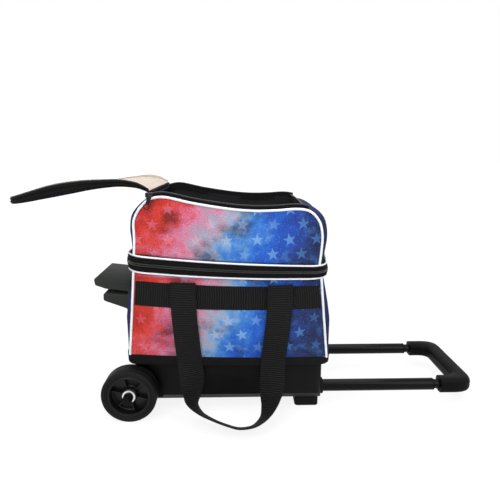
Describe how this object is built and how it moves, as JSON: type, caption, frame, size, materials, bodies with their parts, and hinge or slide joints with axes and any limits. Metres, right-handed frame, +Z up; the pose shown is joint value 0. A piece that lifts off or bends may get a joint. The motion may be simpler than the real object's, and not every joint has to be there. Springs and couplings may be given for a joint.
{
  "type": "rolling bowling bag",
  "caption": "Wheeled bowling bag on a moulded base with a telescoping pull handle, zipped ball and shoe sections, webbing carry straps and an open shoe flap",
  "frame": {"origin": "on the floor, under the middle of the object's bounding box", "axes": "+X from the open shoe flap toward the pull grip, +Y from the printed front to the back, +Z up"},
  "size_m": [0.8766, 0.4094, 0.4411],
  "materials": {
    "moulded_black": "moulded black plastic",
    "rubber_foot": "black rubber",
    "tyre": "black wheel tread",
    "wheel_plastic": "black moulded rim",
    "steel": "plain steel",
    "chrome": "bright washer",
    "nylon": "hidden moulded nylon",
    "bush_nylon": "pale nylon",
    "tube_black": "black coated tube",
    "tube_plain": "plain tube",
    "print_fabric": "red to blue wash print with plain stars",
    "navy_fabric": "navy woven side panels",
    "black_fabric": "black woven tape",
    "webbing": "black ribbed webbing",
    "white_piping": "white piping",
    "lining": "cream lining",
    "board": "stiffener board",
    "foam": "foam ball seat",
    "zip_metal": "black zip slider"
  },
  "bodies": {
    "bag_base": {"base_tray": "moulded_black", "rest_feet": "rubber_foot", "axle_housing": "moulded_black", "base_screws": "steel", "axle": "steel", "axle_washers": "chrome", "axle_caps": "moulded_black", "stand_bracket": "moulded_black", "bracket_rivets": "steel", "floor_board": "board", "ball_cup": "foam", "fixed_tubes": "tube_plain", "tube_anchors": "nylon", "tube_collars": "moulded_black", "trim_band": "black_fabric", "lower_front_panel": "print_fabric", "lower_back_panel": "print_fabric", "lower_left_side": "navy_fabric", "lower_right_side": "navy_fabric", "web_bands": "webbing", "strap_ends": "webbing", "lower_piping": "white_piping", "lower_zip_band": "black_fabric", "back_hinge_tape": "black_fabric"},
    "front_wheel": {"front_tyre": "tyre", "front_rim": "wheel_plastic", "front_bush": "bush_nylon"},
    "back_wheel": {"back_tyre": "tyre", "back_rim": "wheel_plastic", "back_bush": "bush_nylon"},
    "handle_middle": {"mid_tubes": "tube_black", "mid_tube_bushes": "moulded_black", "mid_tube_plugs": "nylon"},
    "handle_grip": {"inner_tubes": "tube_black", "inner_tube_plugs": "nylon", "grip_upper": "moulded_black", "grip_lower": "moulded_black", "grip_screws": "steel", "button_spring": "steel"},
    "handle_release": {"release_button": "moulded_black", "release_yoke": "nylon", "release_rods": "steel"},
    "shoe_section": {"upper_front_panel": "print_fabric", "upper_back_panel": "print_fabric", "upper_left_side": "navy_fabric", "upper_right_side": "navy_fabric", "divider_board": "board", "upper_zip_band": "black_fabric", "upper_piping": "white_piping", "shoe_zip_tape": "black_fabric"},
    "shoe_flap": {"flap_panel": "print_fabric", "flap_lining": "lining", "flap_skirt": "black_fabric"},
    "shoe_slider": {"shoe_zip_slider": "zip_metal"},
    "shoe_pull": {"shoe_zip_pull": "black_fabric"},
    "main_slider": {"main_zip_slider": "zip_metal"},
    "main_pull": {"main_zip_pull": "black_fabric"},
    "front_carry": {"front_strap": "webbing"},
    "back_carry": {"back_strap": "webbing"}
  },
  "joints": [
    {"name": "front_wheel_spin", "type": "hinge", "parent": "bag_base", "child": "front_wheel", "pos_m": [-0.22572, -0.1235, 0.0508], "axis": [0, 1, 0], "continuous": true},
    {"name": "back_wheel_spin", "type": "hinge", "parent": "bag_base", "child": "back_wheel", "pos_m": [-0.22572, 0.1235, 0.0508], "axis": [0, 1, 0], "continuous": true},
    {"name": "middle_stage_slide", "type": "slide", "parent": "bag_base", "child": "handle_middle", "axis": [1, 0, 0], "range_m": [-0.206, 0]},
    {"name": "grip_stage_slide", "type": "slide", "parent": "handle_middle", "child": "handle_grip", "axis": [1, 0, 0], "range_m": [-0.0115, 0.19]},
    {"name": "release_press", "type": "slide", "parent": "handle_grip", "child": "handle_release", "axis": [-1, 0, 0], "range_m": [0, 0.0028], "stiffness_N_per_m": 900, "deforming": ["button_spring"]},
    {"name": "shoe_section_hinge", "type": "hinge", "parent": "bag_base", "child": "shoe_section", "pos_m": [-0.04272, 0.128, 0.289], "axis": [-1, 0, 0], "range_deg": [0, 95]},
    {"name": "shoe_flap_hinge", "type": "hinge", "parent": "shoe_section", "child": "shoe_flap", "pos_m": [-0.17572, 0, 0.42], "axis": [0, 1, 0], "range_deg": [0, 186]},
    {"name": "shoe_zip_slide", "type": "slide", "parent": "shoe_section", "child": "shoe_slider", "axis": [0.9964, 0, -0.0844], "range_m": [0, 0.23]},
    {"name": "shoe_pull_swing", "type": "hinge", "parent": "shoe_slider", "child": "shoe_pull", "pos_m": [-0.17472, -0.129, 0.41908], "axis": [-1, 0, 0], "range_deg": [0, 110]},
    {"name": "main_zip_slide", "type": "slide", "parent": "bag_base", "child": "main_slider", "axis": [0, -1, 0], "range_m": [-0.025, 0.145]},
    {"name": "main_pull_swing", "type": "hinge", "parent": "main_slider", "child": "main_pull", "pos_m": [0.15354, 0.06, 0.2918], "axis": [0, -1, 0], "range_deg": [0, 110]},
    {"name": "front_strap_swing", "type": "hinge", "parent": "bag_base", "child": "front_carry", "pos_m": [-0.03602, -0.14312, 0.215], "axis": [-1, 0, 0], "range_deg": [0, 150]},
    {"name": "back_strap_swing", "type": "hinge", "parent": "bag_base", "child": "back_carry", "pos_m": [-0.03602, 0.13436, 0.215], "axis": [-1, 0, 0], "range_deg": [-150, 0]}
  ]
}
